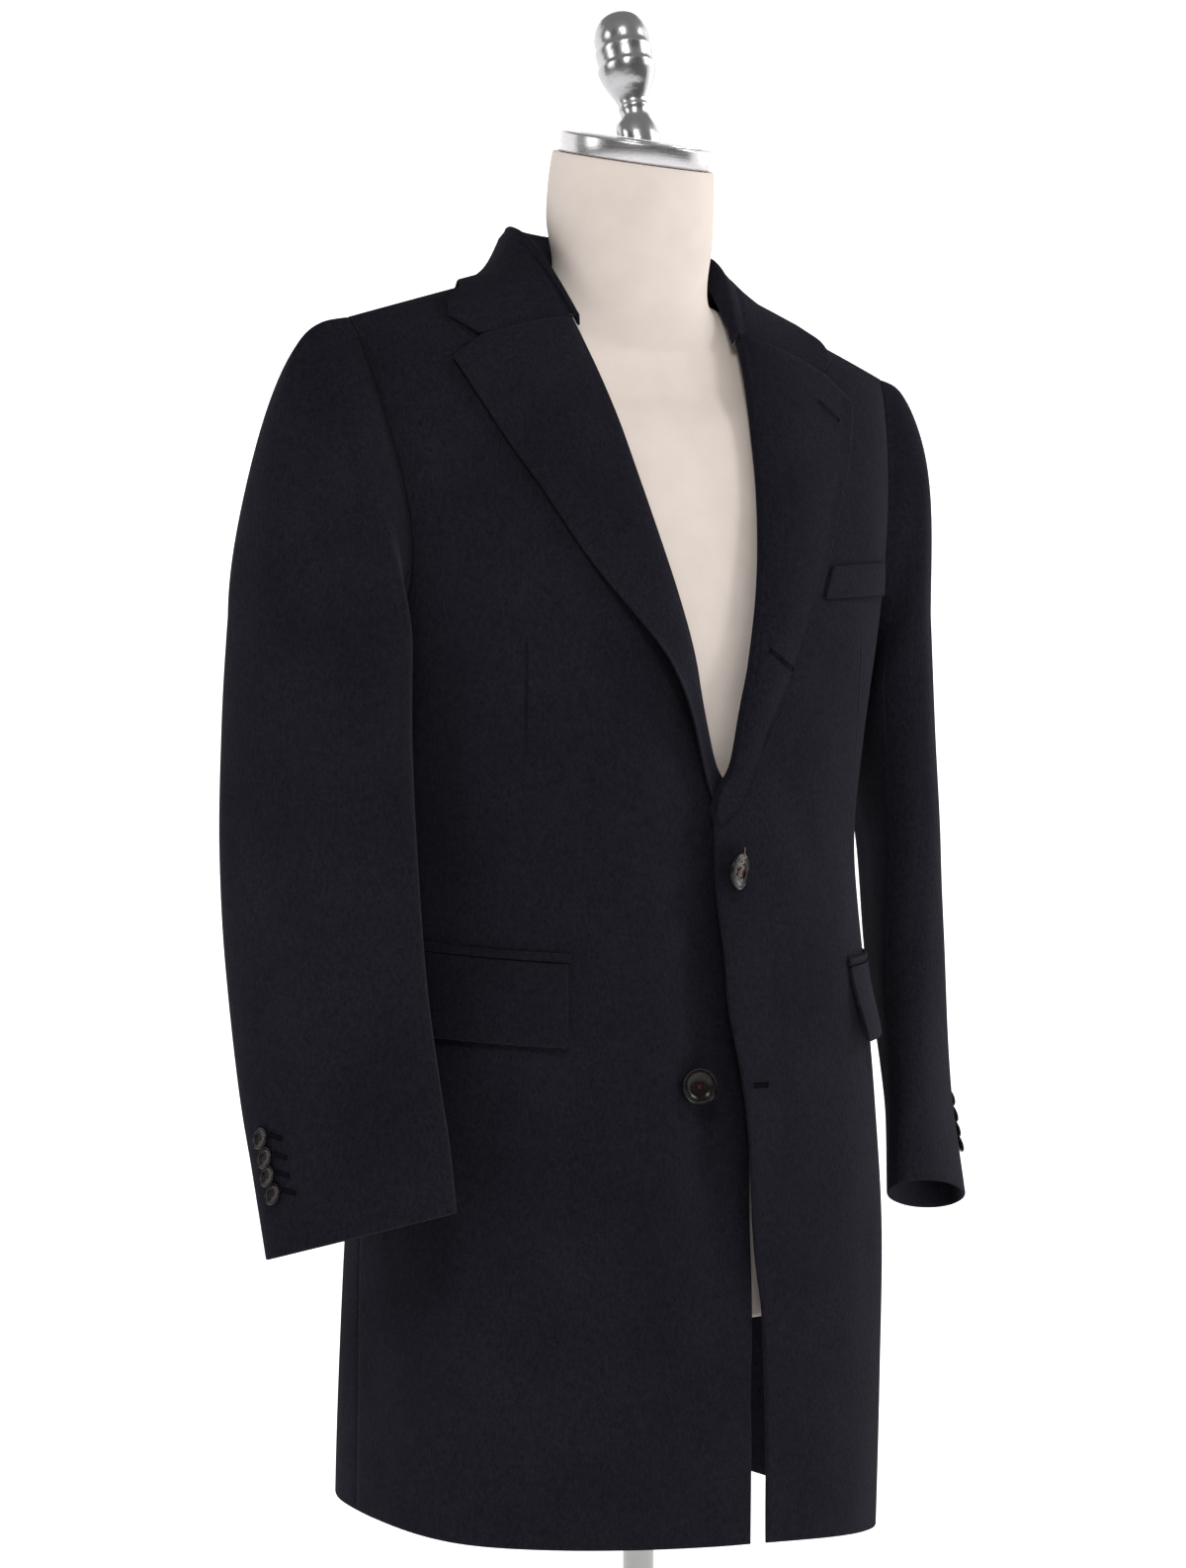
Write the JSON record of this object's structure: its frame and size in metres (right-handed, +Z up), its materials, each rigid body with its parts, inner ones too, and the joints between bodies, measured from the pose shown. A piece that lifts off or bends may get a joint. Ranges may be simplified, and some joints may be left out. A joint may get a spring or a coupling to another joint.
{
  "type": "overcoat on a limbless dress form",
  "caption": "Three-quarter wool overcoat with notch lapels, flap pockets and set-in sleeves, fastened on a limbless dress form with a round stand.",
  "frame": {"origin": "middle of the stand's underside, on the floor", "axes": "+Z up the form, -Y to the coat's front, +X to the wearer's left"},
  "size_m": [0.6187, 0.352, 1.1818],
  "materials": {
    "wool": "matte, brushed",
    "horn": "satin",
    "form_cloth": "matte",
    "steel": "brushed",
    "cast_metal": "cast, polished",
    "enamel": "satin"
  },
  "bodies": {
    "root": {"back_left": "wool", "back_right": "wool", "front_left": "wool", "front_right": "wool", "top_sleeve_left": "wool", "top_sleeve_right": "wool", "under_sleeve_left": "wool", "under_sleeve_right": "wool", "lapel_left": "wool", "lapel_right": "wool", "collar": "wool", "flap_left": "wool", "flap_right": "wool", "jet_left": "wool", "jet_right": "wool", "breast_welt": "wool", "front_button_upper": "horn", "front_button_lower": "horn", "cuff_button_left_1": "horn", "cuff_button_left_2": "horn", "cuff_button_left_3": "horn", "cuff_button_left_4": "horn", "cuff_button_right_1": "horn", "cuff_button_right_2": "horn", "cuff_button_right_3": "horn", "cuff_button_right_4": "horn", "form_torso": "form_cloth", "neck_cap": "steel", "finial": "cast_metal", "stand": "enamel"}
  },
  "joints": []
}
